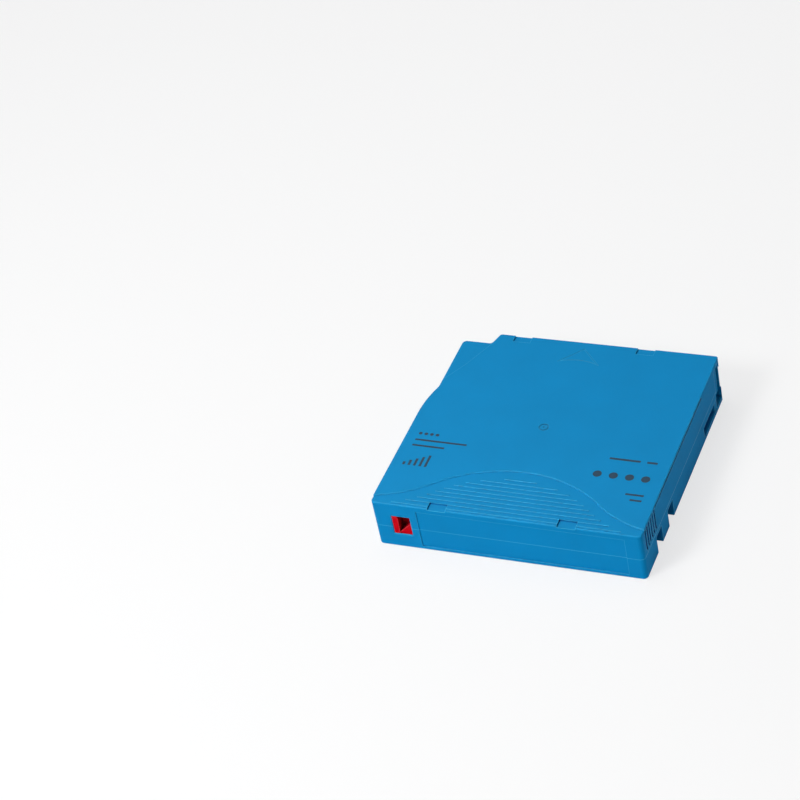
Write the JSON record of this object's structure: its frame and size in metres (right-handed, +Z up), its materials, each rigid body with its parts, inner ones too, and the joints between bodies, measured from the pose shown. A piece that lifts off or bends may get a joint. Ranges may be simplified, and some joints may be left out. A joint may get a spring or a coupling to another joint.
{
  "type": "data tape cartridge",
  "caption": "Flat square cartridge that holds tape on one reel, with a sliding door at one corner, finger ribs at the rear, side notches and a write-protect slide.",
  "frame": {"origin": "centre of the footprint at the underside", "axes": "+Z up through the roof, +Y the way it goes into a drive, +X the side with the tape door"},
  "size_m": [0.1054, 0.102, 0.0215],
  "materials": {
    "case_blue": "satin moulded plastic",
    "tab_red": "satin moulded plastic",
    "screw_steel": "zinc-plated steel",
    "spring_steel": "spring steel",
    "plate_steel": "stamped stainless steel",
    "board_green": "circuit board",
    "chip_black": "potted chip",
    "hub_white": "glass-filled plastic",
    "flange_clear": "clear polycarbonate",
    "tape_black": "coated polyester tape",
    "brake_grey": "acetal"
  },
  "bodies": {
    "case": {"upper_shell": "case_blue", "lower_shell": "case_blue", "case_screws": "screw_steel", "door_spring": "spring_steel", "memory_board": "board_green", "memory_chip": "chip_black", "tape_leader": "tape_black", "leader_pin": "plate_steel", "tape_clip": "brake_grey", "pin_spring": "spring_steel", "brake_spring": "spring_steel"},
    "door": {"access_door": "case_blue"},
    "write_slide": {"write_protect_slide": "tab_red"},
    "reel": {"reel_hub": "hub_white", "upper_flange": "flange_clear", "drive_plate": "plate_steel", "tape_pack": "tape_black"},
    "brake": {"brake_button": "brake_grey"},
    "release": {"release_pad": "brake_grey"}
  },
  "joints": [
    {"name": "door_slide", "type": "slide", "parent": "case", "child": "door", "axis": [0, -1, 0], "range_m": [0, 0.0145], "stiffness_N_per_m": 60, "springref_m": -0.006, "deforming": ["door_spring"]},
    {"name": "write_protect_travel", "type": "slide", "parent": "case", "child": "write_slide", "axis": [1, 0, 0], "range_m": [0, 0.0046]},
    {"name": "reel_spin", "type": "hinge", "parent": "case", "child": "reel", "pos_m": [-0.0011, 0, 0.01], "axis": [0, 0, 1], "continuous": true},
    {"name": "brake_lift", "type": "slide", "parent": "case", "child": "brake", "axis": [0, 0, 1], "range_m": [0, 0.0016], "stiffness_N_per_m": 400, "springref_m": -0.006, "deforming": ["brake_spring"]},
    {"name": "release_lift", "type": "slide", "parent": "reel", "child": "release", "axis": [0, 0, 1], "range_m": [0, 0.0016]}
  ],
  "couplings": [
    {"joint": "brake_lift", "follows": "release_lift", "ratio": 1}
  ]
}
